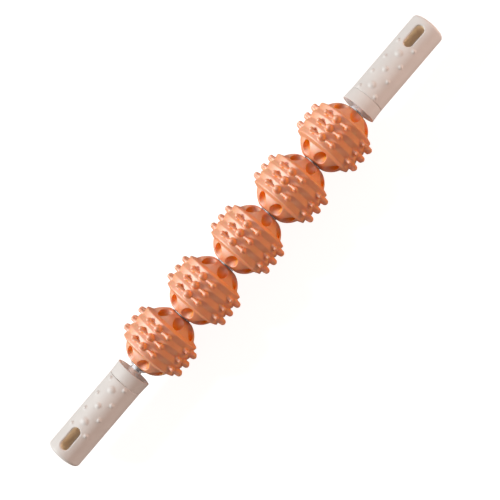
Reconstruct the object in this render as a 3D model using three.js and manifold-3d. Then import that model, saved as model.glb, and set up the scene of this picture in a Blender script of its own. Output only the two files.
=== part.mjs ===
import * as THREE from 'three';
import { ConvexGeometry } from 'three/addons/geometries/ConvexGeometry.js';
import { mergeVertices } from 'three/addons/utils/BufferGeometryUtils.js';
import Module from 'manifold-3d';

// Massage roller stick, lying along X on its studs, hang slots facing up
// Lengths in millimetres, angles in degrees

// Whole stick
const BALL_COUNT = 5;
const REST_GAP = 0.3;
const RUNNING_CLEARANCE = 0.06;
const OVERSHOOT = 2;
const SEAT_SINK = 0.8;
const WELD_TOLERANCE = 0.0001;

// Centre tube
const TUBE_RADIUS = 5;
const TUBE_WALL = 1;
const TUBE_FACETS = 20;

// Ball shell: a band with V grooves between two domed caps
const BALL_LENGTH = 51;
const GROOVE_RADIUS = 24.5;
const GROOVE_PITCH = 8.75;
const RIDGE_REACH = 4.6;
const RIDGE_HEIGHT = 1.5;
const LIP_REACH = 14.1;
const LIP_HEIGHT = 0.6;
const BAND_FLANK = 1.9;
const CAP_STEP = 4.1;
const CAP_BOW = 1.22;
const CAP_RING_SHARES = [0.35, 0.7];
const END_BEVEL_REACH = 0.6;
const END_BEVEL_WIDTH = 2.9;
const END_FACE_WIDTH = 0.5;
const BALL_FACETS = 20;

// Ball hub: hard sleeve inside the shell
const HUB_WALL = 2.4;
const HUB_FACETS = 16;

// Studs: a row in each groove, of groups with a big cone between two teardrops parallel to it
const GROUPS_PER_ROW = 4;
const CONE_FACETS = 6;
const CONE_BASE_RADIUS = 3.3;
const CONE_HEAD_RADIUS = 1.9;
const CONE_HEIGHT = 6.3;
const DROP_TAIL_REACH = 4.3;
const DROP_HEAD_REACH = 12.2;
const DROP_HALF_WIDTH = 1.9;
const DROP_TIP_START_REACH = 9.4;
const DROP_TIP_END_REACH = 11.8;
const DROP_TIP_HALF_WIDTH = 1.2;
const DROP_BELOW_CONE = 3.9;

// Pockets cut into each cap, parallel to the tube
const POCKET_COUNT = 7;
const POCKET_RADIUS = 4.5;
const POCKET_CENTRE_RADIUS = 15.8;
const POCKET_DEPTH = 12;
const POCKET_FIRST_ANGLE = -24;
const POCKET_FACETS = 7;

// Spacer washers and end rings on the tube
const WASHER_WALL = 2.6;
const WASHER_THICKNESS = 0.6;
const RING_WALL = 1.4;
const RING_THICKNESS = 0.8;
const WASHER_FACETS = 12;

// Free stretch of tube at each handle's mouth: the row of balls stands nearer the right handle
const LEFT_MOUTH_GAP = 4.2;
const RIGHT_MOUTH_GAP = 1.3;

// Handle grip
const HANDLE_LENGTH = 85.35;
const GRIP_RADIUS = 14.5;
const GRIP_WALL = 3;
const GRIP_EDGE_ROUND = 2.6;
const GRIP_FACETS = 24;

// Handle collar at the mouth
const COLLAR_LENGTH = 10.5;
const MOUTH_FLARE = 0.6;
const MOUTH_RIM_WALL = 2;
const RECESS_DEPTH = 4.5;
const SEAM_CHAMFER = 0.4;

// Handle core inside grip and collar
const CORE_NOSE_LENGTH = 2.4;
const CORE_NOSE_WALL = 1.6;
const CORE_END_WALL = 3.4;
const CORE_RIB_COUNT = 8;
const CORE_RIB_HEIGHT = 1.5;
const CORE_RIB_WIDTH = 1.6;
const CORE_FACETS = 20;

// Hang slot across the handle
const SLOT_LENGTH = 20.5;
const SLOT_WIDTH = 8.1;
const SLOT_END_WALL = 6.25;
const SLOT_CORE_WALL = 5.15;
const SLOT_END_FACETS = 6;

// Grip bumps on the slot side, placed between the slot's inner end (0) and the seam (1)
const BUMP_HEIGHT = 0.8;
const SIDE_BUMP_ANGLE = 32.5;
const SIDE_BUMP_RADIUS = 1.7;
const SIDE_BUMP_SHARES = [-0.02, 0.31, 0.625, 0.94];
const MID_BUMP_RADIUS = 2.75;
const MID_BUMP_SHARES = [0.155, 0.485, 0.815];
const MID_BUMP_SIZE_SHARES = [1, 0.76, 1];
const BUMP_SHOULDER_SHARE = 0.6;
const BUMP_SHOULDER_HEIGHT_SHARE = 0.75;
const BUMP_FACETS = 6;

// Places that follow from the sizes
const hubRadius = TUBE_RADIUS + HUB_WALL;
const shellBore = hubRadius + REST_GAP;
const ballEnd = BALL_LENGTH / 2;
const ballPitch = BALL_LENGTH + WASHER_THICKNESS + 2 * REST_GAP;
const rowShift = (LEFT_MOUTH_GAP - RIGHT_MOUTH_GAP) / 2;
const rowEnd = (BALL_COUNT * ballPitch) / 2;
const ringStart = rowEnd + WASHER_THICKNESS / 2 + REST_GAP;
const mouthX = ringStart + RING_THICKNESS + (LEFT_MOUTH_GAP + RIGHT_MOUTH_GAP) / 2;
const seamX = mouthX + COLLAR_LENGTH;
const handleEnd = mouthX + HANDLE_LENGTH;
const slotCentre = handleEnd - SLOT_END_WALL - SLOT_LENGTH / 2;
const slotInnerEnd = slotCentre - SLOT_LENGTH / 2;
const cavityEnd = slotInnerEnd - SLOT_CORE_WALL;
const cavityRadius = GRIP_RADIUS - GRIP_WALL;
const coreEnd = cavityEnd - REST_GAP;
const coreFloor = coreEnd - CORE_END_WALL;
const tubeEnd = coreFloor - REST_GAP;

const degrees = THREE.MathUtils.degToRad;
const wasm = await Module();
wasm.setup();

// Closed bodies: joining and cutting
function toSolid(geometry) {
  let plain = geometry.index ? geometry.toNonIndexed() : geometry.clone();
  plain.deleteAttribute('normal');
  plain.deleteAttribute('uv');
  plain = mergeVertices(plain, WELD_TOLERANCE);
  const whole = [];
  const index = plain.index.array;
  for (let i = 0; i < index.length; i += 3) {
    const [a, b, c] = [index[i], index[i + 1], index[i + 2]];
    if (a !== b && b !== c && c !== a) whole.push(a, b, c);
  }
  return new wasm.Manifold(new wasm.Mesh({
    numProp: 3,
    vertProperties: new Float32Array(plain.attributes.position.array),
    triVerts: new Uint32Array(whole),
  }));
}

function toGeometry(solid) {
  const mesh = solid.getMesh();
  const geometry = new THREE.BufferGeometry();
  geometry.setAttribute('position', new THREE.BufferAttribute(mesh.vertProperties, 3));
  geometry.setIndex(new THREE.BufferAttribute(mesh.triVerts, 1));
  const faceted = geometry.toNonIndexed();
  faceted.computeVertexNormals();
  return faceted;
}

function join(first, others) {
  return others.reduce((sum, next) => sum.add(next), first);
}

function cut(first, others) {
  return others.reduce((left, next) => left.subtract(next), first);
}

// Revolved body about X from [x, radius] points, outer side running towards +X
function turned(points, facets) {
  const profile = points.map(([x, radius]) => new THREE.Vector2(radius, x));
  const geometry = new THREE.LatheGeometry(profile, facets);
  geometry.rotateZ(-Math.PI / 2);
  return geometry;
}

function ringBody(xStart, xEnd, outer, inner, facets) {
  return turned([
    [xStart, inner],
    [xStart, outer],
    [xEnd, outer],
    [xEnd, inner],
    [xStart, inner],
  ], facets);
}

// Bore that clears a faceted shaft by the given clearance all round
function boreRadius(shaftRadius, clearance, facets) {
  return (shaftRadius + clearance) / Math.cos(Math.PI / facets);
}

// Point at a turn from +Z towards +Y about X
function around(x, radius, angle) {
  const turn = degrees(angle);
  return new THREE.Vector3(x, radius * Math.sin(turn), radius * Math.cos(turn));
}

// Place geometry built along +Y so that it points outwards at an angle about X
function pointOutwards(geometry, x, angle) {
  geometry.rotateX(Math.PI / 2 - degrees(angle));
  geometry.translate(x, 0, 0);
  return geometry;
}

// Ball shell
const bandFoot = LIP_REACH + BAND_FLANK;
const capEdge = ballEnd - END_BEVEL_REACH;
const capFootRadius = GROOVE_RADIUS - CAP_STEP;
const endFaceRadius = shellBore + END_FACE_WIDTH;
const capEdgeRadius = endFaceRadius + END_BEVEL_WIDTH;

// Dome of the cap: a shallow bow over the straight line from the band's foot to the end bevel
function capRing(share) {
  const foot = new THREE.Vector2(bandFoot, capFootRadius);
  const edge = new THREE.Vector2(capEdge, capEdgeRadius);
  const line = edge.clone().sub(foot).normalize();
  const bow = CAP_BOW * Math.sin(Math.PI * share);
  const point = foot.lerp(edge, share);
  return [point.x - line.y * bow, point.y + line.x * bow];
}

function shellHalfOutline() {
  return [
    [RIDGE_REACH, GROOVE_RADIUS + RIDGE_HEIGHT],
    [GROOVE_PITCH, GROOVE_RADIUS],
    [LIP_REACH, GROOVE_RADIUS + LIP_HEIGHT],
    [bandFoot, capFootRadius],
    ...CAP_RING_SHARES.map(capRing),
    [capEdge, capEdgeRadius],
    [ballEnd, endFaceRadius],
  ];
}

function shellBody() {
  const half = shellHalfOutline();
  const left = half.map(([x, radius]) => [-x, radius]).reverse();
  const body = turned([
    ...left,
    [0, GROOVE_RADIUS],
    ...half,
    [ballEnd, shellBore],
    [-ballEnd, shellBore],
    left[0],
  ], BALL_FACETS);
  body.rotateX(Math.PI / BALL_FACETS);
  return toSolid(body);
}

const coneTip = GROOVE_RADIUS + CONE_HEIGHT;
const dropTip = coneTip - DROP_BELOW_CONE;

function coneStud(x, angle) {
  const foot = GROOVE_RADIUS - SEAT_SINK;
  const geometry = new THREE.LatheGeometry([
    new THREE.Vector2(0, foot),
    new THREE.Vector2(CONE_BASE_RADIUS, foot),
    new THREE.Vector2(CONE_HEAD_RADIUS, coneTip),
    new THREE.Vector2(0, coneTip),
  ], CONE_FACETS);
  return toSolid(pointOutwards(geometry, x, angle));
}

// Height of the groove's floor at a reach across the group, less the sink
function seatAt(reach) {
  return Math.sqrt(GROOVE_RADIUS ** 2 - reach ** 2) - SEAT_SINK;
}

// Teardrop beside the cone at an angle, on its side 1 or -1
function dropStud(x, angle, side) {
  const drop = new ConvexGeometry([
    new THREE.Vector3(0, seatAt(DROP_TAIL_REACH), side * DROP_TAIL_REACH),
    new THREE.Vector3(-DROP_HALF_WIDTH, seatAt(DROP_HEAD_REACH), side * DROP_HEAD_REACH),
    new THREE.Vector3(DROP_HALF_WIDTH, seatAt(DROP_HEAD_REACH), side * DROP_HEAD_REACH),
    new THREE.Vector3(0, dropTip, side * DROP_TIP_START_REACH),
    new THREE.Vector3(-DROP_TIP_HALF_WIDTH, dropTip, side * DROP_TIP_END_REACH),
    new THREE.Vector3(DROP_TIP_HALF_WIDTH, dropTip, side * DROP_TIP_END_REACH),
  ]);
  return toSolid(pointOutwards(drop, x, angle));
}

function studs() {
  const made = [];
  for (const row of [-1, 0, 1]) {
    const x = row * GROOVE_PITCH;
    for (let i = 0; i < GROUPS_PER_ROW; i += 1) {
      const angle = (i * 360) / GROUPS_PER_ROW;
      made.push(coneStud(x, angle), dropStud(x, angle, 1), dropStud(x, angle, -1));
    }
  }
  return made;
}

function pockets() {
  const made = [];
  const depth = POCKET_DEPTH + OVERSHOOT;
  const middle = ballEnd - POCKET_DEPTH + depth / 2;
  for (const side of [-1, 1]) {
    for (let i = 0; i < POCKET_COUNT; i += 1) {
      const drill = new THREE.CylinderGeometry(POCKET_RADIUS, POCKET_RADIUS, depth, POCKET_FACETS);
      drill.rotateZ(-Math.PI / 2);
      const spot = around(0, POCKET_CENTRE_RADIUS, POCKET_FIRST_ANGLE + (i * 360) / POCKET_COUNT);
      drill.translate(side * middle, spot.y, spot.z);
      made.push(toSolid(drill));
    }
  }
  return made;
}

const ballShell = cut(join(shellBody(), studs()), pockets());

// Ball hub
function hubGeometry() {
  const bore = boreRadius(TUBE_RADIUS, RUNNING_CLEARANCE, HUB_FACETS);
  return ringBody(-ballEnd, ballEnd, hubRadius, bore, HUB_FACETS);
}

// Handle parts, all built at the +X end
function bump(x, angle, radius) {
  const foot = GRIP_RADIUS - SEAT_SINK;
  const shoulder = GRIP_RADIUS + BUMP_HEIGHT * BUMP_SHOULDER_HEIGHT_SHARE;
  const geometry = new THREE.LatheGeometry([
    new THREE.Vector2(0, foot),
    new THREE.Vector2(radius, foot),
    new THREE.Vector2(radius * BUMP_SHOULDER_SHARE, shoulder),
    new THREE.Vector2(0, GRIP_RADIUS + BUMP_HEIGHT),
  ], BUMP_FACETS);
  return toSolid(pointOutwards(geometry, x, angle));
}

function bumps() {
  const made = [];
  const start = seamX + REST_GAP;
  for (const share of SIDE_BUMP_SHARES) {
    const x = THREE.MathUtils.lerp(slotInnerEnd, start, share);
    made.push(bump(x, SIDE_BUMP_ANGLE, SIDE_BUMP_RADIUS));
    made.push(bump(x, -SIDE_BUMP_ANGLE, SIDE_BUMP_RADIUS));
  }
  MID_BUMP_SHARES.forEach((share, i) => {
    const x = THREE.MathUtils.lerp(slotInnerEnd, start, share);
    made.push(bump(x, 0, MID_BUMP_RADIUS * MID_BUMP_SIZE_SHARES[i]));
  });
  return made;
}

function slotCutter() {
  const radius = SLOT_WIDTH / 2;
  const straight = SLOT_LENGTH / 2 - radius;
  const outline = new THREE.Shape();
  outline.moveTo(-straight, -radius);
  outline.lineTo(straight, -radius);
  outline.absarc(straight, 0, radius, -Math.PI / 2, Math.PI / 2, false);
  outline.lineTo(-straight, radius);
  outline.absarc(-straight, 0, radius, Math.PI / 2, Math.PI * 1.5, false);
  const depth = 2 * (GRIP_RADIUS + OVERSHOOT);
  const geometry = new THREE.ExtrudeGeometry(outline, {
    depth,
    bevelEnabled: false,
    curveSegments: SLOT_END_FACETS,
  });
  geometry.translate(slotCentre, 0, -depth / 2);
  return toSolid(geometry);
}

function gripSolid() {
  const round = GRIP_EDGE_ROUND;
  const slope = Math.SQRT1_2;
  const start = seamX + REST_GAP;
  const body = toSolid(turned([
    [start, cavityRadius],
    [start, GRIP_RADIUS - SEAM_CHAMFER],
    [start + SEAM_CHAMFER, GRIP_RADIUS],
    [handleEnd - round, GRIP_RADIUS],
    [handleEnd - round * (1 - slope), GRIP_RADIUS - round * (1 - slope)],
    [handleEnd, GRIP_RADIUS - round],
    [handleEnd, 0],
    [cavityEnd, 0],
    [cavityEnd, cavityRadius],
    [start, cavityRadius],
  ], GRIP_FACETS));
  return cut(join(body, bumps()), [slotCutter()]);
}

function collarGeometry() {
  const mouthRadius = GRIP_RADIUS + MOUTH_FLARE;
  const inner = mouthRadius - MOUTH_RIM_WALL;
  return turned([
    [mouthX, inner],
    [mouthX, mouthRadius],
    [seamX - SEAM_CHAMFER, GRIP_RADIUS],
    [seamX, GRIP_RADIUS - SEAM_CHAMFER],
    [seamX, cavityRadius],
    [mouthX + RECESS_DEPTH, cavityRadius],
    [mouthX, inner],
  ], GRIP_FACETS);
}

function coreRibs(face, nose, noseRadius) {
  const made = [];
  const start = nose + REST_GAP;
  const length = face + SEAT_SINK - start;
  const height = CORE_RIB_HEIGHT + SEAT_SINK;
  for (let i = 0; i < CORE_RIB_COUNT; i += 1) {
    const rib = new THREE.BoxGeometry(length, height, CORE_RIB_WIDTH);
    rib.translate(start + length / 2, noseRadius - SEAT_SINK + height / 2, 0);
    rib.rotateX((i * 2 * Math.PI) / CORE_RIB_COUNT);
    made.push(toSolid(rib));
  }
  return made;
}

function coreSolid() {
  const bore = boreRadius(TUBE_RADIUS, RUNNING_CLEARANCE, CORE_FACETS);
  const outer = cavityRadius * Math.cos(Math.PI / GRIP_FACETS) - REST_GAP;
  const face = mouthX + RECESS_DEPTH;
  const nose = face - CORE_NOSE_LENGTH;
  const noseRadius = bore + CORE_NOSE_WALL;
  const body = toSolid(turned([
    [nose, bore],
    [nose, noseRadius],
    [face, noseRadius],
    [face, outer],
    [coreEnd, outer],
    [coreEnd, 0],
    [coreFloor, 0],
    [coreFloor, bore],
    [nose, bore],
  ], CORE_FACETS));
  return join(body, coreRibs(face, nose, noseRadius));
}

// Mirror a handle part to the -X end by a half turn about Z
function otherEnd(geometry) {
  return geometry.clone().rotateZ(Math.PI);
}

// Looks
function look(color, roughness, metalness) {
  return () => new THREE.MeshStandardMaterial({ color, roughness, metalness });
}

const coralRubber = look(0xe8966f, 0.62, 0);
const hubPlastic = look(0xb9622f, 0.5, 0);
const gripPlastic = look(0xd8ccc3, 0.5, 0);
const corePlastic = look(0x9a7f78, 0.55, 0);
const chromedSteel = look(0xc9cacd, 0.16, 1);

const stick = new THREE.Group();
stick.name = 'massage_roller_stick';

function addPiece(name, geometry, material) {
  const mesh = new THREE.Mesh(geometry, material());
  mesh.name = name;
  stick.add(mesh);
}

// Assembly
const tubeRing = ringBody(-tubeEnd, tubeEnd, TUBE_RADIUS, TUBE_RADIUS - TUBE_WALL, TUBE_FACETS);
addPiece('centre_tube', tubeRing, chromedSteel);

const shellGeometry = toGeometry(ballShell);
for (let i = 0; i < BALL_COUNT; i += 1) {
  const x = rowShift + (i - (BALL_COUNT - 1) / 2) * ballPitch;
  addPiece(`ball_${i + 1}_shell`, shellGeometry.clone().translate(x, 0, 0), coralRubber);
  addPiece(`ball_${i + 1}_hub`, hubGeometry().translate(x, 0, 0), hubPlastic);
}

const washerRadius = TUBE_RADIUS + WASHER_WALL;
const washerBore = boreRadius(TUBE_RADIUS, RUNNING_CLEARANCE, WASHER_FACETS);
for (let i = 0; i <= BALL_COUNT; i += 1) {
  const x = rowShift + (i - BALL_COUNT / 2) * ballPitch;
  const start = x - WASHER_THICKNESS / 2;
  const washer = ringBody(start, start + WASHER_THICKNESS, washerRadius, washerBore, WASHER_FACETS);
  addPiece(`spacer_washer_${i + 1}`, washer, chromedSteel);
}

const ringRadius = TUBE_RADIUS + RING_WALL;
const endRing = ringBody(ringStart, ringStart + RING_THICKNESS, ringRadius, washerBore, WASHER_FACETS);
addPiece('left_end_ring', otherEnd(endRing).translate(rowShift, 0, 0), chromedSteel);
addPiece('right_end_ring', endRing.clone().translate(rowShift, 0, 0), chromedSteel);

const grip = toGeometry(gripSolid());
const core = toGeometry(coreSolid());
const collar = collarGeometry();
const handlePieces = [
  ['handle_core', core, corePlastic],
  ['handle_collar', collar, gripPlastic],
  ['handle_grip', grip, gripPlastic],
];
for (const [name, geometry, material] of handlePieces) {
  addPiece(`left_${name}`, otherEnd(geometry), material);
  addPiece(`right_${name}`, geometry, material);
}

export default stick;
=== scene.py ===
import math

import bmesh
import bpy
import numpy as np
from mathutils import Matrix, Vector

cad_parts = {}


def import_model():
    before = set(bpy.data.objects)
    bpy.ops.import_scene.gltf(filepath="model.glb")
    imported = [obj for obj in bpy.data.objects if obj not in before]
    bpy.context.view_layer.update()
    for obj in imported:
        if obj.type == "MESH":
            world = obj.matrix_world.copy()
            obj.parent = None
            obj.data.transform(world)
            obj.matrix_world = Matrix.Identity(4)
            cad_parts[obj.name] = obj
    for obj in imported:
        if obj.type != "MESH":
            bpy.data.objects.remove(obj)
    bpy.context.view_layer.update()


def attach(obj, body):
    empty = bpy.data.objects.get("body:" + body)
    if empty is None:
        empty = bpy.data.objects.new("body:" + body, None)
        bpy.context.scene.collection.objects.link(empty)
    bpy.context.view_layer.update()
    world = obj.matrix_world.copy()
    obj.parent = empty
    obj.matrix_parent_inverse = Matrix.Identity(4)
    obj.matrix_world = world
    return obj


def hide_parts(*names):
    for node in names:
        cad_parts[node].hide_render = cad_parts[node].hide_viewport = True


# Massage roller stick: look, light and camera. Lengths in millimetres unless a name ends in _M.
MM = 0.001

# Stick and tube
HALF_LENGTH = 220.0
BALL_PITCH = 52.2
ROW_SHIFT = 1.45
BALL_COUNT = 5
TUBE_RADIUS = 5.0
TUBE_WALL = 1.0
TUBE_END = 184.1
REST_GAP = 0.3
RUNNING_GAP = 0.15

# Ball shell
BALL_HALF = 25.5
CAP_ARC_CENTRE = (8.85, 4.54)
CAP_ARC_RADIUS = 17.37
END_FACE_RADIUS = 8.4
BAND_PROFILE = [(0.0, 24.3), (4.65, 26.0), (8.9, 24.35), (13.8, 25.15), (14.3, 24.85), (16.0, 20.5)]
PROFILE_BLUR = 0.22
PROFILE_X = (-3.0, 34.0)
PROFILE_REACH = 36.0
CAP_START_GAP = 0.7
CAP_END_GAP = 0.45
CAP_POINTS = 16
STUD_ROW_PITCH = 8.75
STUD_TURN = 90.0
STUD_FILLET = 0.9

# Spheres that bound the studs, as (reach across the group, height, radius)
CONE_FOOT = (0.0, 23.4, 3.35)
CONE_HEAD = (0.0, 28.25, 2.5)
DROP_TAIL = (4.5, 24.3, 0.75)
DROP_FOOT = (10.4, 21.0, 1.95)
DROP_HEAD = (10.6, 25.4, 1.55)
DROP_FILLET = 0.8
STUD_NEAR_RADIUS = 22.0

# Pockets in the caps
POCKET_TURN = 360.0 / 7
POCKET_FIRST = -24.0
POCKET_CENTRE = 15.8
POCKET_RADIUS = 4.4
POCKET_FLOOR = 13.5
POCKET_FILLET = 0.5
HUB_RADIUS = 7.4
HUB_ROUND = 0.3
HUB_FACETS = 64
BORE_FILLET = 0.5

# Washers and end rings
WASHER_RADIUS = 7.6
WASHER_THICKNESS = 0.6
RING_RADIUS = 6.4
RING_THICKNESS = 0.8
TUBE_ROUND = 0.3
WASHER_ROUND = 0.15
RING_ROUND = 0.2
TUBE_FACETS = 72
RING_FACETS = 64

# Handles
MOUTH = 134.65
SEAM = 145.15
SEAM_LINE = 0.15
GRIP_RADIUS = 14.5
GRIP_ROUND = 2.8
CAVITY_RADIUS = 11.5
CAVITY_END = 188.1
MOUTH_RADIUS = 15.1
MOUTH_INNER = 13.1
RECESS_FLOOR = 139.15
GRIP_EDGE_FILLET = 0.3
FLARE_END = MOUTH + 4.0
FLARE_DROP = 0.28
COLLAR_EDGE = (0.15, 0.2)
COLLAR_ROUND = 0.35
COLLAR_FACETS = 96
SLOT_CENTRE = 203.5
SLOT_HALF = 10.25
SLOT_RADIUS = 4.05
SLOT_FILLET = 0.7
BUMP_HEIGHT = 1.1
SIDE_ANGLE = 32.5
SIDE_BUMPS = (25.9, 41.6, 56.6, 71.7)
SIDE_BUMP_RADIUS = 1.75
MID_BUMPS = ((34.1, 2.95), (50.0, 2.3), (65.8, 2.95))
BUMP_FILLET = 0.5
BUMP_NEAR_HEIGHT = 8.0
BUMP_NEAR_RADIUS = 13.0
CORE_NOSE = (136.75, 6.7)
CORE_RIBS = 8
CORE_RIB_REACH = 8.2
CORE_RIB_HALF = 0.8
CORE_RIB_SETBACK = 0.3
CORE_RIB_FIRST = 90.0
CORE_OVERLAP = 1.0
CORE_GAP = 0.45
CORE_NOSE_FILLET = 0.5
CORE_RIB_FILLET = 0.3
CORE_BORE_FILLET = 0.25

# The stick lies on its studs
FLOOR_Z = -30.8

# Meshing: grid steps, a distance that stands for far away, and how points settle, in shares of a step
STEP = 0.48
GRIP_STEP = 0.6
FAR = 9.0
GRID_MARGIN = (1.5, 2.5)
SETTLE_PASSES = 3
SETTLE_PROBE = 0.1
SETTLE_REACH = 0.35
SETTLE_LEAST_SLOPE = 0.2
BLUR_REACH = 2.5
CORNER_ARCS = 4
CORNER_SHARE = 0.45


# Field helpers: distances in millimetres, negative inside
def soft_min(a, b, k):
    h = np.maximum(k - np.abs(a - b), 0.0) / k
    return np.minimum(a, b) - h * h * k * 0.25


def soft_max(a, b, k):
    return -soft_min(-a, -b, k)


def round_cone(p, a, b, ra, rb):
    """Distance to the hull of two spheres, radius ra at a and rb at b."""
    a = np.asarray(a, float)
    ba = np.asarray(b, float) - a
    length2 = float(ba @ ba)
    rr = ra - rb
    a2 = length2 - rr * rr
    pa = p - a
    y = pa @ ba
    z = y - length2
    cross = pa * length2 - y[:, None] * ba
    x2 = np.einsum("ij,ij->i", cross, cross)
    y2 = y * y * length2
    z2 = z * z * length2
    k = np.sign(rr) * rr * rr * x2
    side = (np.sqrt(x2 * a2 / length2) + y * rr) / length2 - ra
    near_b = np.sqrt(x2 + z2) / length2 - rb
    near_a = np.sqrt(x2 + y2) / length2 - ra
    out = np.where(np.sign(y) * a2 * y2 < k, near_a, side)
    return np.where(np.sign(z) * a2 * z2 > k, near_b, out)


def folded(angle, turn, first=0.0):
    """Angle brought into the half turn either side of the nearest copy."""
    return (angle - first + turn / 2) % turn - turn / 2


def polygon_distance(px, py, outline):
    """Signed distance to a closed outline."""
    best = np.full(px.shape, 1e9)
    inside = np.zeros(px.shape, bool)
    for (ax, ay), (bx, by) in zip(outline, outline[1:] + outline[:1]):
        ex, ey = bx - ax, by - ay
        wx, wy = px - ax, py - ay
        t = np.clip((wx * ex + wy * ey) / (ex * ex + ey * ey), 0.0, 1.0)
        best = np.minimum(best, (wx - ex * t) ** 2 + (wy - ey * t) ** 2)
        crosses = (ay > py) != (by > py)
        if ey:
            inside ^= crosses & (px < ax + ex * (py - ay) / ey)
    return np.where(inside, -1.0, 1.0) * np.sqrt(best)


def blurred(table, width):
    """The table smoothed along both axes, which rounds the outline's corners."""
    reach = int(math.ceil(BLUR_REACH * width))
    steps = np.arange(-reach, reach + 1)
    weights = np.exp(-0.5 * (steps / width) ** 2)
    weights /= weights.sum()
    for axis in (0, 1):
        padded = np.pad(table, [(reach, reach) if i == axis else (0, 0) for i in (0, 1)], mode="edge")
        table = sum(
            w * np.take(padded, np.arange(table.shape[axis]) + i, axis) for i, w in enumerate(weights)
        )
    return table


class Profile:
    """A body of revolution about X, symmetric in X, read from a table of (|x|, radius)."""

    CELL = 0.1

    def __init__(self, outline, blur):
        self.x = np.arange(*PROFILE_X, self.CELL)
        self.r = np.arange(0.0, PROFILE_REACH, self.CELL)
        gx, gr = np.meshgrid(self.x, self.r, indexing="ij")
        closed = outline + [(-x, r) for x, r in reversed(outline[1:])]
        self.table = blurred(polygon_distance(gx, gr, closed), blur / self.CELL)

    def __call__(self, x, r):
        fx = np.clip((np.abs(x) - self.x[0]) / self.CELL, 0, len(self.x) - 1.001)
        fr = np.clip(r / self.CELL, 0, len(self.r) - 1.001)
        ix, ir = fx.astype(int), fr.astype(int)
        tx, tr = fx - ix, fr - ir
        t = self.table
        low = t[ix, ir] * (1 - tr) + t[ix, ir + 1] * tr
        high = t[ix + 1, ir] * (1 - tr) + t[ix + 1, ir + 1] * tr
        return low * (1 - tx) + high * tx


# Surface of a field
CORNERS = [(i, j, k) for i in (0, 1) for j in (0, 1) for k in (0, 1)]
EDGES = [
    (a, b)
    for a in range(8)
    for b in range(a + 1, 8)
    if sum(abs(CORNERS[a][i] - CORNERS[b][i]) for i in range(3)) == 1
]


def sampled(field, axes):
    """The field on the grid, one slab of X at a time."""
    y, z = np.meshgrid(axes[1], axes[2], indexing="ij")
    flat = np.stack([np.zeros(y.size), y.ravel(), z.ravel()], axis=1)
    values = np.empty([len(a) for a in axes])
    for i, x in enumerate(axes[0]):
        flat[:, 0] = x
        values[i] = field(flat).reshape(y.shape)
    return values


def cell_points(values, cells):
    """Mean of each cell's edge crossings, in cells."""
    corner = np.stack([values[tuple((cells + c).T)] for c in CORNERS])
    total = np.zeros((len(cells), 3))
    hits = np.zeros(len(cells))
    for a, b in EDGES:
        crossing = (corner[a] < 0) != (corner[b] < 0)
        share = np.where(crossing, corner[a] / np.where(crossing, corner[a] - corner[b], 1.0), 0.0)
        start, end = np.array(CORNERS[a], float), np.array(CORNERS[b], float)
        total += np.where(crossing[:, None], start + share[:, None] * (end - start), 0.0)
        hits += crossing
    return cells + total / hits[:, None]


def net_faces(inside, number):
    """One quad round each grid edge that the surface crosses."""
    quads = []
    for axis in range(3):
        u, v = (axis + 1) % 3, (axis + 2) % 3
        first = np.take(inside, np.arange(inside.shape[axis] - 1), axis)
        second = np.take(inside, np.arange(1, inside.shape[axis]), axis)
        where = np.argwhere(first != second)
        du, dv = np.eye(3, dtype=int)[u], np.eye(3, dtype=int)[v]
        ring = [where - du - dv, where - dv, where, where - du]
        quad = np.stack([number[tuple(c.T)] for c in ring], axis=1)
        outwards = first[tuple(where.T)]
        quads.append(np.where(outwards[:, None], quad, quad[:, ::-1]))
    return np.concatenate(quads)


def settled(points, field, step):
    """The points moved on to the surface, by no more than a share of the step at a time."""
    for _ in range(SETTLE_PASSES):
        value = field(points)
        slope = np.empty_like(points)
        for axis in range(3):
            shift = np.zeros(3)
            shift[axis] = SETTLE_PROBE * step
            slope[:, axis] = (field(points + shift) - field(points - shift)) / (2 * SETTLE_PROBE * step)
        size2 = np.maximum(np.einsum("ij,ij->i", slope, slope), SETTLE_LEAST_SLOPE)
        move = -(value / size2)[:, None] * slope
        length = np.linalg.norm(move, axis=1)
        move *= np.minimum(1.0, SETTLE_REACH * step / np.maximum(length, 1e-9))[:, None]
        points = points + move
    return points


def field_mesh(name, field, low, high, step):
    """A closed smooth mesh where the field is zero. Corners in millimetres."""
    before, after = (share * step for share in GRID_MARGIN)
    axes = [np.arange(a - before, b + after, step) for a, b in zip(low, high)]
    values = sampled(field, axes)
    inside = values < 0
    shape = [n - 1 for n in inside.shape]
    count = np.zeros(shape, np.int8)
    for i, j, k in CORNERS:
        count += inside[i:i + shape[0], j:j + shape[1], k:k + shape[2]]
    cells = np.argwhere((count > 0) & (count < 8))
    number = np.full(shape, -1)
    number[tuple(cells.T)] = np.arange(len(cells))
    origin = np.array([a[0] for a in axes])
    points = origin + cell_points(values, cells) * step
    points = settled(points, field, step)
    return mesh_from(name, points, net_faces(inside, number))


def mesh_from(name, points, faces):
    """A smooth-shaded mesh from points in millimetres and rows of vertex numbers."""
    mesh = bpy.data.meshes.new(name)
    mesh.from_pydata((np.asarray(points) * MM).tolist(), [], [list(map(int, f)) for f in faces])
    mesh.validate()
    mesh.polygons.foreach_set("use_smooth", [True] * len(mesh.polygons))
    mesh.update()
    return mesh


# Revolved pieces
def rounded_outline(outline, radius):
    """The closed outline with each corner replaced by a short arc."""
    points = [np.array(p, float) for p in outline]
    out = []
    for before, here, after in zip(points[-1:] + points[:-1], points, points[1:] + points[:1]):
        a, b = before - here, after - here
        la, lb = np.linalg.norm(a), np.linalg.norm(b)
        reach = min(radius, CORNER_SHARE * la, CORNER_SHARE * lb)
        start, end = here + a / la * reach, here + b / lb * reach
        for i in range(CORNER_ARCS + 1):
            t = i / CORNER_ARCS
            out.append((1 - t) ** 2 * start + 2 * t * (1 - t) * here + t * t * end)
    return out


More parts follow.
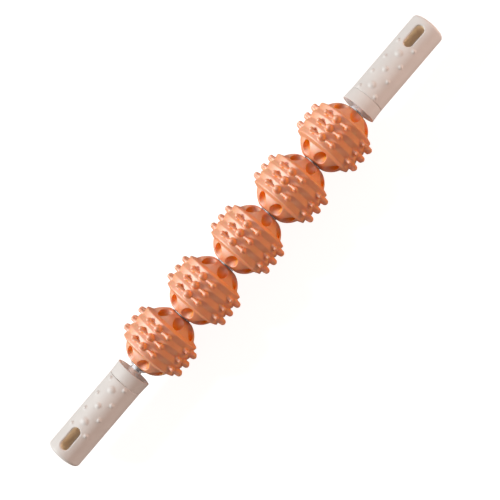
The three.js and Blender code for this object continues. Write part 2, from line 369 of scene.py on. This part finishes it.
def turned_mesh(name, outline, radius, facets):
    """A ring about X from a closed (x, radius) outline that never touches the axis."""
    profile = rounded_outline(outline, radius)
    turn = np.arange(facets) * 2 * math.pi / facets
    points = [(x, r * math.sin(a), r * math.cos(a)) for x, r in profile for a in turn]
    rows = len(profile)
    faces = []
    for i in range(rows):
        for j in range(facets):
            a, b = i * facets + j, i * facets + (j + 1) % facets
            c, d = (i + 1) % rows * facets + (j + 1) % facets, (i + 1) % rows * facets + j
            faces.append((a, b, c, d))
    mesh = mesh_from(name, points, faces)
    facing_out(mesh)
    return mesh


def facing_out(mesh):
    work = bmesh.new()
    work.from_mesh(mesh)
    bmesh.ops.recalc_face_normals(work, faces=work.faces)
    if work.calc_volume(signed=True) < 0:
        bmesh.ops.reverse_faces(work, faces=work.faces)
    work.to_mesh(mesh)
    work.free()


def ring_outline(start, end, outer, inner):
    return [(start, inner), (start, outer), (end, outer), (end, inner)]


# Ball shell
def shell_outline():
    reach = np.linspace(BAND_PROFILE[-1][0] + CAP_START_GAP, BALL_HALF - CAP_END_GAP, CAP_POINTS)
    along, out = CAP_ARC_CENTRE
    cap = [(float(x), out + math.sqrt(CAP_ARC_RADIUS ** 2 - (x - along) ** 2)) for x in reach]
    return BAND_PROFILE + cap + [(BALL_HALF, END_FACE_RADIUS), (BALL_HALF, 0.0)]


def on_turn(angle, radius):
    return (0.0, radius * math.sin(math.radians(angle)), radius * math.cos(math.radians(angle)))


def between(p, low, high):
    """Distance to the hull of two spheres that stand over the group's line."""
    return round_cone(p, (0.0, *low[:2]), (0.0, *high[:2]), low[2], high[2])


def shell_field():
    profile = Profile(shell_outline(), PROFILE_BLUR)

    def field(p):
        x, y, z = p[:, 0], p[:, 1], p[:, 2]
        r = np.hypot(y, z)
        angle = np.degrees(np.arctan2(y, z))
        body = profile(x, r)
        row = np.clip(np.round(x / STUD_ROW_PITCH), -1, 1) * STUD_ROW_PITCH
        turn = np.radians(np.abs(folded(angle, STUD_TURN)))
        local = np.stack([x - row, r * np.sin(turn), r * np.cos(turn)], axis=1)
        near = r > STUD_NEAR_RADIUS
        stud = np.full(len(p), FAR)
        q = local[near]
        ramp = between(q, DROP_TAIL, DROP_HEAD)
        stem = between(q, DROP_FOOT, DROP_HEAD)
        stud[near] = np.minimum(between(q, CONE_FOOT, CONE_HEAD), soft_min(ramp, stem, DROP_FILLET))
        body = soft_min(body, stud, STUD_FILLET)
        turn = np.radians(folded(angle, POCKET_TURN, POCKET_FIRST))
        pocket = np.hypot(r * np.sin(turn), r * np.cos(turn) - POCKET_CENTRE) - POCKET_RADIUS
        pocket = soft_max(pocket, POCKET_FLOOR - np.abs(x), POCKET_FILLET)
        body = soft_max(body, -pocket, POCKET_FILLET)
        return soft_max(body, HUB_RADIUS + REST_GAP - r, BORE_FILLET)

    return field


def ball_shell_mesh():
    reach = CONE_HEAD[1] + CONE_HEAD[2]
    low, high = (-BALL_HALF, -reach, -reach), (BALL_HALF, reach, reach)
    return field_mesh("ball_shell", shell_field(), low, high, STEP)


# Handle grip
def bump_distance(p, x, angle, radius):
    """Shallow dome on the grip, as part of a sphere."""
    ball = (radius ** 2 + BUMP_HEIGHT ** 2) / (2 * BUMP_HEIGHT)
    centre = np.array(on_turn(angle, GRIP_RADIUS + BUMP_HEIGHT - ball))
    centre[0] = x
    return np.linalg.norm(p - centre, axis=1) - ball


def grip_bumps():
    """Place along the stick, angle and radius of each bump."""
    angles = (-SIDE_ANGLE, SIDE_ANGLE)
    spots = [(HALF_LENGTH - back, angle, SIDE_BUMP_RADIUS) for back in SIDE_BUMPS for angle in angles]
    return spots + [(HALF_LENGTH - back, 0.0, radius) for back, radius in MID_BUMPS]


def grip_field(p):
    x, y, z = p[:, 0], p[:, 1], p[:, 2]
    r = np.hypot(y, z)
    over_end = x - (HALF_LENGTH - GRIP_ROUND)
    over_side = r - (GRIP_RADIUS - GRIP_ROUND)
    corner = np.hypot(np.maximum(over_end, 0), np.maximum(over_side, 0))
    body = corner + np.minimum(np.maximum(over_end, over_side), 0) - GRIP_ROUND
    body = soft_max(body, SEAM + SEAM_LINE - x, GRIP_EDGE_FILLET)
    near = (z > BUMP_NEAR_HEIGHT) & (r > BUMP_NEAR_RADIUS)
    q = p[near]
    bumps = np.full(len(p), FAR)
    if len(q):
        bumps[near] = np.min([bump_distance(q, *spot) for spot in grip_bumps()], axis=0)
    body = soft_min(body, bumps, BUMP_FILLET)
    straight = SLOT_HALF - SLOT_RADIUS
    slot = np.hypot(np.maximum(np.abs(x - SLOT_CENTRE) - straight, 0), y) - SLOT_RADIUS
    body = soft_max(body, -slot, SLOT_FILLET)
    cavity = np.maximum(r - CAVITY_RADIUS, x - CAVITY_END)
    return soft_max(body, -cavity, GRIP_EDGE_FILLET)


def grip_mesh():
    reach = GRIP_RADIUS + BUMP_HEIGHT
    low, high = (SEAM, -GRIP_RADIUS, -GRIP_RADIUS), (HALF_LENGTH, GRIP_RADIUS, reach)
    return field_mesh("handle_grip", grip_field, low, high, GRIP_STEP)


# Handle core
def core_field(p):
    x, y, z = p[:, 0], p[:, 1], p[:, 2]
    r = np.hypot(y, z)
    angle = np.degrees(np.arctan2(y, z))
    main = np.maximum(np.maximum(RECESS_FLOOR - x, x - CAVITY_END + REST_GAP), r - CAVITY_RADIUS + CORE_GAP)
    start, nose_radius = CORE_NOSE
    past_floor = x - RECESS_FLOOR - CORE_OVERLAP
    nose = np.maximum(start - x, np.maximum(r - nose_radius, past_floor))
    turn = np.radians(folded(angle, 360.0 / CORE_RIBS, CORE_RIB_FIRST))
    rib = np.maximum(np.abs(r * np.sin(turn)) - CORE_RIB_HALF, r - CORE_RIB_REACH)
    rib = np.maximum(rib, np.maximum(start + CORE_RIB_SETBACK - x, past_floor))
    body = soft_min(soft_min(main, nose, CORE_NOSE_FILLET), rib, CORE_RIB_FILLET)
    bore = np.maximum(r - TUBE_RADIUS - RUNNING_GAP, x - TUBE_END - REST_GAP)
    return soft_max(body, -bore, CORE_BORE_FILLET)


def core_mesh():
    reach = CAVITY_RADIUS
    low, high = (CORE_NOSE[0], -reach, -reach), (CAVITY_END, reach, reach)
    return field_mesh("handle_core", core_field, low, high, STEP)


def collar_mesh():
    back, drop = COLLAR_EDGE
    outline = [
        (MOUTH, MOUTH_INNER),
        (MOUTH, MOUTH_RADIUS),
        (FLARE_END, MOUTH_RADIUS - FLARE_DROP),
        (SEAM - back, GRIP_RADIUS),
        (SEAM, GRIP_RADIUS - drop),
        (SEAM, CAVITY_RADIUS),
        (RECESS_FLOOR, CAVITY_RADIUS),
    ]
    return turned_mesh("handle_collar", outline, COLLAR_ROUND, COLLAR_FACETS)


# Materials: noise is stretched from the range that most of it lies in, openness from the range of hollows.
# Openness masks the painted light and shade in the balls' hollows
NOISE_RANGE = (0.3, 0.7)
NOISE_ROUGHNESS = 0.55
NOISE_DETAIL = 3.0
GRAIN_DETAIL = 2.0
GRAIN_DEPTH_M = 0.0002
HOLLOW_REACH_M = 0.011
HOLLOW_RANGE = (0.3, 0.65)
RUBBER_IOR = 2.35
RUBBER_SCATTER_M = 0.003
RUBBER_SCATTER = (1.0, 0.3, 0.1)
GRIP_IOR = 1.45
GRIP_SCATTER_M = 0.01
GRIP_SCATTER = (1.0, 0.85, 0.8)
# Radii inside which the hang slot and the handle mouth take their painted light
SLOT_LIGHT_RADII = (GRIP_RADIUS - 3.0, GRIP_RADIUS - 1.6)
MOUTH_LIGHT_RADII = (MOUTH_INNER + 0.2, MOUTH_INNER + 0.9)
END_FACE_STARTS = (HALF_LENGTH - 4.5, HALF_LENGTH - 3.5)


def feed(tree, value, socket):
    """Link a socket, or set a plain value."""
    if isinstance(value, bpy.types.NodeSocket):
        tree.links.new(value, socket)
    else:
        socket.default_value = value


def maths(tree, operation, a, b):
    """One operation on two values, each a socket or a number."""
    node = tree.nodes.new("ShaderNodeMath")
    node.operation = operation
    feed(tree, a, node.inputs[0])
    feed(tree, b, node.inputs[1])
    return node.outputs[0]


def blend(tree, share, a, b):
    """Mix of two colours by a share from 0 to 1, each a socket or a value.

    Inputs 6 and 7 and output 2 are the node's colour ones.
    """
    node = tree.nodes.new("ShaderNodeMix")
    node.data_type = "RGBA"
    for index, value in ((0, share), (6, a), (7, b)):
        feed(tree, value, node.inputs[index])
    return node.outputs[2]


class Nodes:
    """Short calls for building one material's nodes."""

    def __init__(self, name):
        self.material = bpy.data.materials.new(name)
        self.material.use_nodes = True
        self.tree = self.material.node_tree
        self.shader = self.tree.nodes["Principled BSDF"]

    def add(self, kind, **values):
        node = self.tree.nodes.new(kind)
        for key, value in values.items():
            setattr(node, key, value)
        return node

    def link(self, out, into):
        self.tree.links.new(out, into)

    def coordinates(self):
        return self.add("ShaderNodeTexCoord").outputs["Object"]

    def noise(self, scale, detail=NOISE_DETAIL):
        node = self.add("ShaderNodeTexNoise")
        node.inputs["Scale"].default_value = scale
        node.inputs["Detail"].default_value = detail
        node.inputs["Roughness"].default_value = NOISE_ROUGHNESS
        self.link(self.coordinates(), node.inputs["Vector"])
        return node.outputs["Fac"]

    def tone(self, scale, dark, light):
        """A patchy colour between two screen colours."""
        node = self.add("ShaderNodeValToRGB")
        for end, place, colour in zip(node.color_ramp.elements, NOISE_RANGE, (dark, light)):
            end.position = place
            end.color = linear(*colour)
        self.link(self.noise(scale), node.inputs["Fac"])
        return node.outputs["Color"]

    def rough(self, scale, low, high):
        """A patchy roughness between low and high."""
        self.link(self.share(self.noise(scale), *NOISE_RANGE, low, high), self.shader.inputs["Roughness"])

    def share(self, value, start, end, low, high):
        """The value moved from the range start to end into the range low to high."""
        node = self.add("ShaderNodeMapRange")
        for socket, number in zip(node.inputs[1:5], (start, end, low, high)):
            socket.default_value = number
        self.link(value, node.inputs["Value"])
        return node.outputs["Result"]

    def openness(self, reach):
        """0 in a hollow that is narrower than the reach in metres, 1 on an open face. It masks the painted
        light and shade in hollows.
        """
        node = self.add("ShaderNodeAmbientOcclusion", only_local=True)
        node.inputs["Distance"].default_value = reach
        return self.share(node.outputs["AO"], *HOLLOW_RANGE, 0.0, 1.0)

    def bump(self, scale, strength):
        """Fine grain on the surface."""
        node = self.add("ShaderNodeBump")
        node.inputs["Strength"].default_value = strength
        node.inputs["Distance"].default_value = GRAIN_DEPTH_M
        self.link(self.noise(scale, GRAIN_DETAIL), node.inputs["Height"])
        self.link(node.outputs["Normal"], self.shader.inputs["Normal"])

    def feed(self, socket, value):
        """Link or set one socket of the shader."""
        feed(self.tree, value, self.shader.inputs[socket])

    def graded(self, socket, share, low, high):
        """A shader value that runs from low to high as the share runs from 0 to 1."""
        self.feed(socket, self.share(share, 0.0, 1.0, low, high))

    def scatter(self, scale, radius):
        """Light that passes under the surface, to this depth in metres."""
        self.feed("Subsurface Scale", scale)
        self.feed("Subsurface Radius", radius)

    def split(self):
        """X, Y and Z in the piece's own frame, in metres."""
        node = self.add("ShaderNodeSeparateXYZ")
        self.link(self.coordinates(), node.inputs[0])
        return node

    def radius(self):
        """Distance from the X axis through the piece's own origin, in metres."""
        split = self.split()
        joined = self.add("ShaderNodeCombineXYZ")
        self.link(split.outputs["Y"], joined.inputs["Y"])
        self.link(split.outputs["Z"], joined.inputs["Z"])
        length = self.add("ShaderNodeVectorMath", operation="LENGTH")
        self.link(joined.outputs[0], length.inputs[0])
        return length.outputs["Value"]

    def along(self):
        """Distance from the middle of the stick along its axis, in metres."""
        return maths(self.tree, "ABSOLUTE", self.split().outputs["X"], 0.0)


def linear(red, green, blue):
    """Linear colour from the 0 to 255 values of a screen colour."""
    def one(v):
        v /= 255.0
        return v / 12.92 if v <= 0.04045 else ((v + 0.055) / 1.055) ** 2.4
    return (one(red), one(green), one(blue), 1.0)


# Painted light: a brighter, deeper orange that stands in for light bounced inside the balls' hollows
PAINTED_HOLLOW_LIGHT = linear(255, 178, 72)
# Painted light: paler tones than the outside for the insides of the hang slot and the handle mouth, standing
# in for light that the shade there holds back
PAINTED_SLOT_LIGHT = linear(254, 236, 208)
PAINTED_MOUTH_LIGHT = linear(254, 246, 242)


def coral_rubber():
    """Matte coral. In pockets, grooves and under the studs the colour is painted light and shade: a deeper,
    brighter orange standing in for light bounced in the hollows. The surface is plainer there too, its
    specular turned down as painted shade on reflections.
    """
    n = Nodes("coral_rubber")
    tone = n.tone(160.0, (233, 134, 46), (239, 141, 52))
    painted_hollow_mask = n.openness(HOLLOW_REACH_M)
    # Painted light and shade: hollows take the painted orange and lose their specular
    n.feed("Base Color", blend(n.tree, painted_hollow_mask, PAINTED_HOLLOW_LIGHT, tone))
    n.graded("Specular IOR Level", painted_hollow_mask, 0.0, 1.0)
    n.rough(900.0, 0.6, 0.68)
    n.bump(2600.0, 0.12)
    n.graded("Subsurface Weight", painted_hollow_mask, 0.7, 0.5)
    n.feed("IOR", RUBBER_IOR)
    n.scatter(RUBBER_SCATTER_M, RUBBER_SCATTER)
    return n.material


def grip_plastic(name, inside, radii, inside_scatter):
    """Pinkish beige. Inside the first radius, except on the end face, the colour is painted light: a paler
    tone that stands in for light in the shaded slot or mouth, and the subsurface weight rises to the inside
    value, which carries more light in there.
    """
    n = Nodes(name)
    tone = n.tone(70.0, (226, 222, 218), (232, 228, 224))
    inner, outer = radii
    depth = n.share(n.radius(), inner * MM, outer * MM, 0.0, 1.0)
    start, full = END_FACE_STARTS
    end_face = n.share(n.along(), start * MM, full * MM, 0.0, 1.0)
    unpainted_share = maths(n.tree, "MAXIMUM", depth, end_face)
    # Painted light: inside the slot or mouth the tone is the paler inside colour
    n.feed("Base Color", blend(n.tree, unpainted_share, inside, tone))
    n.rough(700.0, 0.42, 0.52)
    n.bump(3200.0, 0.08)
    n.feed("IOR", GRIP_IOR)
    n.graded("Subsurface Weight", unpainted_share, inside_scatter, 0.0)
    n.scatter(GRIP_SCATTER_M, GRIP_SCATTER)
    return n.material


def core_plastic():
    n = Nodes("core_plastic")
    # Nearly white, paler than the core's own colour: painted light that makes up for the shade in the handle
    # mouth
    n.feed("Base Color", n.tone(200.0, (243, 232, 233), (249, 240, 241)))
    n.rough(600.0, 0.5, 0.62)
    return n.material


def hub_plastic():
    n = Nodes("hub_plastic")
    n.feed("Base Color", n.tone(200.0, (150, 70, 38), (165, 82, 46)))
    n.rough(600.0, 0.5, 0.6)
    return n.material


def chromed_steel():
    n = Nodes("chromed_steel")
    n.feed("Base Color", n.tone(120.0, (246, 247, 250), (250, 251, 253)))
    n.rough(500.0, 0.13, 0.19)
    n.feed("Metallic", 1.0)
    return n.material


# Pieces
def place(name, mesh, material, body, slot, node, x=0.0, half_turn=False):
    """Put a piece in the scene at x, in place of the node, and let it ride the body."""
    piece = bpy.data.objects.new(name, mesh)
    bpy.context.collection.objects.link(piece)
    if not mesh.materials:
        mesh.materials.append(material)
    turn = Matrix.Rotation(math.pi if half_turn else 0.0, 4, "Z")
    piece.matrix_world = Matrix.Translation((x * MM, 0, 0)) @ turn
    bpy.context.view_layer.update()
    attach(piece, body)
    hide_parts(node)


def build_balls(rubber, hub):
    shell = ball_shell_mesh()
    outline = ring_outline(-BALL_HALF, BALL_HALF, HUB_RADIUS, TUBE_RADIUS + RUNNING_GAP)
    sleeve = turned_mesh("ball_hub", outline, HUB_ROUND, HUB_FACETS)
    for i in range(1, BALL_COUNT + 1):
        x = ROW_SHIFT + (i - (BALL_COUNT + 1) / 2) * BALL_PITCH
        body = f"ball_{i}"
        place(f"studded_shell_{i}", shell, rubber, body, "coral_rubber", f"ball_{i}_shell", x)
        place(f"hub_sleeve_{i}", sleeve, hub, body, "hub_plastic", f"ball_{i}_hub", x)


def build_tube(steel):
    outline = ring_outline(-TUBE_END, TUBE_END, TUBE_RADIUS, TUBE_RADIUS - TUBE_WALL)
    tube = turned_mesh("steel_tube", outline, TUBE_ROUND, TUBE_FACETS)
    place("steel_tube", tube, steel, "stick", "chromed_steel", "centre_tube")
    inner = TUBE_RADIUS + RUNNING_GAP
    half = WASHER_THICKNESS / 2
    outline = ring_outline(-half, half, WASHER_RADIUS, inner)
    washer = turned_mesh("washer", outline, WASHER_ROUND, TUBE_FACETS)
    for i in range(BALL_COUNT + 1):
        x = ROW_SHIFT + (i - BALL_COUNT / 2) * BALL_PITCH
        place(f"washer_{i + 1}", washer, steel, "stick", "chromed_steel", f"spacer_washer_{i + 1}", x)
    start = BALL_COUNT * BALL_PITCH / 2 + half + REST_GAP
    outline = ring_outline(start, start + RING_THICKNESS, RING_RADIUS, inner)
    ring = turned_mesh("end_ring", outline, RING_ROUND, RING_FACETS)
    place("right_stop_ring", ring, steel, "stick", "chromed_steel", "right_end_ring", ROW_SHIFT)
    place("left_stop_ring", ring, steel, "stick", "chromed_steel", "left_end_ring", ROW_SHIFT, half_turn=True)


def build_handles(plastic, lip, inner):
    parts = [
        ("grip", grip_mesh(), plastic, "grip_plastic", "handle_grip"),
        ("collar", collar_mesh(), lip, "grip_plastic", "handle_collar"),
        ("core", core_mesh(), inner, "core_plastic", "handle_core"),
    ]
    for part, mesh, material, slot, node in parts:
        for side in ("left", "right"):
            place(f"{side}_{part}", mesh, material, "stick", slot, f"{side}_{node}", half_turn=side == "left")


# Stage, light and camera
ROLL = 49.53
CAMERA_ELEVATION = 73.5
CAMERA_DISTANCE_M = 0.877
CAMERA_LENS = 80.9
CAMERA_SENSOR = 36.0
CAMERA_CLIP_M = 0.01
CENTRE_OFFSET_MM = (-3.16, 7.19)
AMBIENT = (0.32, 0.23, 0.19)
FLOOR_COLOUR = (0.4, 0.36, 0.34, 1.0)
FLOOR_GLOW = 0.88
FLOOR_GLOW_IN_REFLECTIONS = 0.05
FLOOR_ROUGHNESS = 0.9
FLOOR_HALF_M = 3.0
DARK_SIDE = (0.75, -0.5, 0.1)
DARK_SIDE_RANGE = (-0.55, 0.25)
DARK_SIDE_LIGHT = 0.12
WHITE = (1.0, 1.0, 1.0, 1.0)

# Lamps: way from the stick in the photograph's axes, distance and size in metres, watts, colour
KEY = ((-1.0, 0.1, 0.4), 7.0, 1.4, 425.0, (0.88, 0.96, 0.99))
FILL = ((1.0, 0.43, 0.33), 1.9, 1.1, 30.0, (1.0, 0.78, 0.7))


def view_axes():
    """Right, up and back of the photograph's frame, as unit vectors."""
    tilt = math.radians(CAMERA_ELEVATION)
    roll = math.radians(ROLL)
    back = Vector((0, -math.cos(tilt), math.sin(tilt)))
    across = Vector((0, math.sin(tilt), math.cos(tilt)))
    along = Vector((1, 0, 0))
    right = along * math.cos(roll) - across * math.sin(roll)
    up = along * math.sin(roll) + across * math.cos(roll)
    return right, up, back


def in_photo(way):
    """A unit vector from parts along the photograph's right, up and back."""
    right, up, back = view_axes()
    return (right * way[0] + up * way[1] + back * way[2]).normalized()


def add_camera():
    right, up, back = view_axes()
    data = bpy.data.cameras.new("photo_camera")
    data.lens = CAMERA_LENS
    data.sensor_width = CAMERA_SENSOR
    data.clip_start = CAMERA_CLIP_M
    camera = bpy.data.objects.new("photo_camera", data)
    bpy.context.collection.objects.link(camera)
    turn = Matrix((right, up, back)).transposed().to_4x4()
    offset = -(right * CENTRE_OFFSET_MM[0] + up * CENTRE_OFFSET_MM[1]) * MM
    camera.matrix_world = Matrix.Translation(offset + back * CAMERA_DISTANCE_M) @ turn
    bpy.context.scene.camera = camera


def add_lamp(name, lamp_values, mirrored):
    """Square soft lamp that shines at the stick's centre."""
    toward, distance, size, power, colour = lamp_values
    way = in_photo(toward)
    data = bpy.data.lights.new(name, "AREA")
    data.shape = "SQUARE"
    data.size = size
    data.energy = power
    data.color = colour
    lamp = bpy.data.objects.new(name, data)
    bpy.context.collection.objects.link(lamp)
    turn = way.to_track_quat("Z", "Y").to_matrix().to_4x4()
    lamp.matrix_world = Matrix.Translation(way * distance) @ turn
    lamp.visible_glossy = mirrored


def studio_walls(tree):
    """What reflections show: white all round, and darker towards the photograph's lower right."""
    direction = tree.nodes.new("ShaderNodeTexCoord")
    towards = tree.nodes.new("ShaderNodeVectorMath")
    towards.operation = "DOT_PRODUCT"
    tree.links.new(direction.outputs["Generated"], towards.inputs[0])
    towards.inputs[1].default_value = in_photo(DARK_SIDE)
    dark = tree.nodes.new("ShaderNodeMapRange")
    dark.inputs["From Min"].default_value, dark.inputs["From Max"].default_value = DARK_SIDE_RANGE
    tree.links.new(towards.outputs["Value"], dark.inputs["Value"])
    grey = (DARK_SIDE_LIGHT, DARK_SIDE_LIGHT, DARK_SIDE_LIGHT, 1.0)
    return blend(tree, dark.outputs["Result"], WHITE, grey)


def reflected(tree, path):
    """1 for rays that a reflection or a clear piece sends on."""
    return maths(tree, "MAXIMUM", path.outputs["Is Glossy Ray"], path.outputs["Is Transmission Ray"])


def add_world():
    """White behind the object, studio walls in reflections, and a warm grey as soft light."""
    world = bpy.data.worlds.new("studio")
    bpy.context.scene.world = world
    world.use_nodes = True
    tree = world.node_tree
    path = tree.nodes.new("ShaderNodeLightPath")
    colour = blend(tree, reflected(tree, path), (*AMBIENT, 1.0), studio_walls(tree))
    seen = blend(tree, path.outputs["Is Camera Ray"], colour, WHITE)
    tree.links.new(seen, tree.nodes["Background"].inputs["Color"])


def add_floor():
    """A floor that is white to the camera, keeps the shadow and hardly glows in reflections."""
    size = FLOOR_HALF_M
    mesh = bpy.data.meshes.new("floor")
    z = FLOOR_Z * MM
    corners = [(-size, -size, z), (size, -size, z), (size, size, z), (-size, size, z)]
    mesh.from_pydata(corners, [], [(0, 1, 2, 3)])
    floor = bpy.data.objects.new("floor", mesh)
    bpy.context.collection.objects.link(floor)
    material = bpy.data.materials.new("floor")
    material.use_nodes = True
    tree = material.node_tree
    shader = tree.nodes["Principled BSDF"]
    shader.inputs["Base Color"].default_value = FLOOR_COLOUR
    shader.inputs["Roughness"].default_value = FLOOR_ROUGHNESS
    shader.inputs["Emission Color"].default_value = WHITE
    path = tree.nodes.new("ShaderNodeLightPath")
    seen = maths(tree, "MULTIPLY", path.outputs["Is Camera Ray"], FLOOR_GLOW)
    mirrored = maths(tree, "MULTIPLY", reflected(tree, path), FLOOR_GLOW_IN_REFLECTIONS)
    tree.links.new(maths(tree, "ADD", seen, mirrored), shader.inputs["Emission Strength"])
    mesh.materials.append(material)


def main():
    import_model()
    build_balls(coral_rubber(), hub_plastic())
    build_tube(chromed_steel())
    build_handles(
        grip_plastic("grip_plastic", PAINTED_SLOT_LIGHT, SLOT_LIGHT_RADII, 0.0),
        grip_plastic("collar_plastic", PAINTED_MOUTH_LIGHT, MOUTH_LIGHT_RADII, 1.0),
        core_plastic(),
    )
    add_floor()
    add_world()
    add_camera()
    add_lamp("key", KEY, mirrored=True)
    add_lamp("fill", FILL, mirrored=False)
    bpy.context.scene.view_settings.view_transform = "Standard"
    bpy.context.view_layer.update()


main()
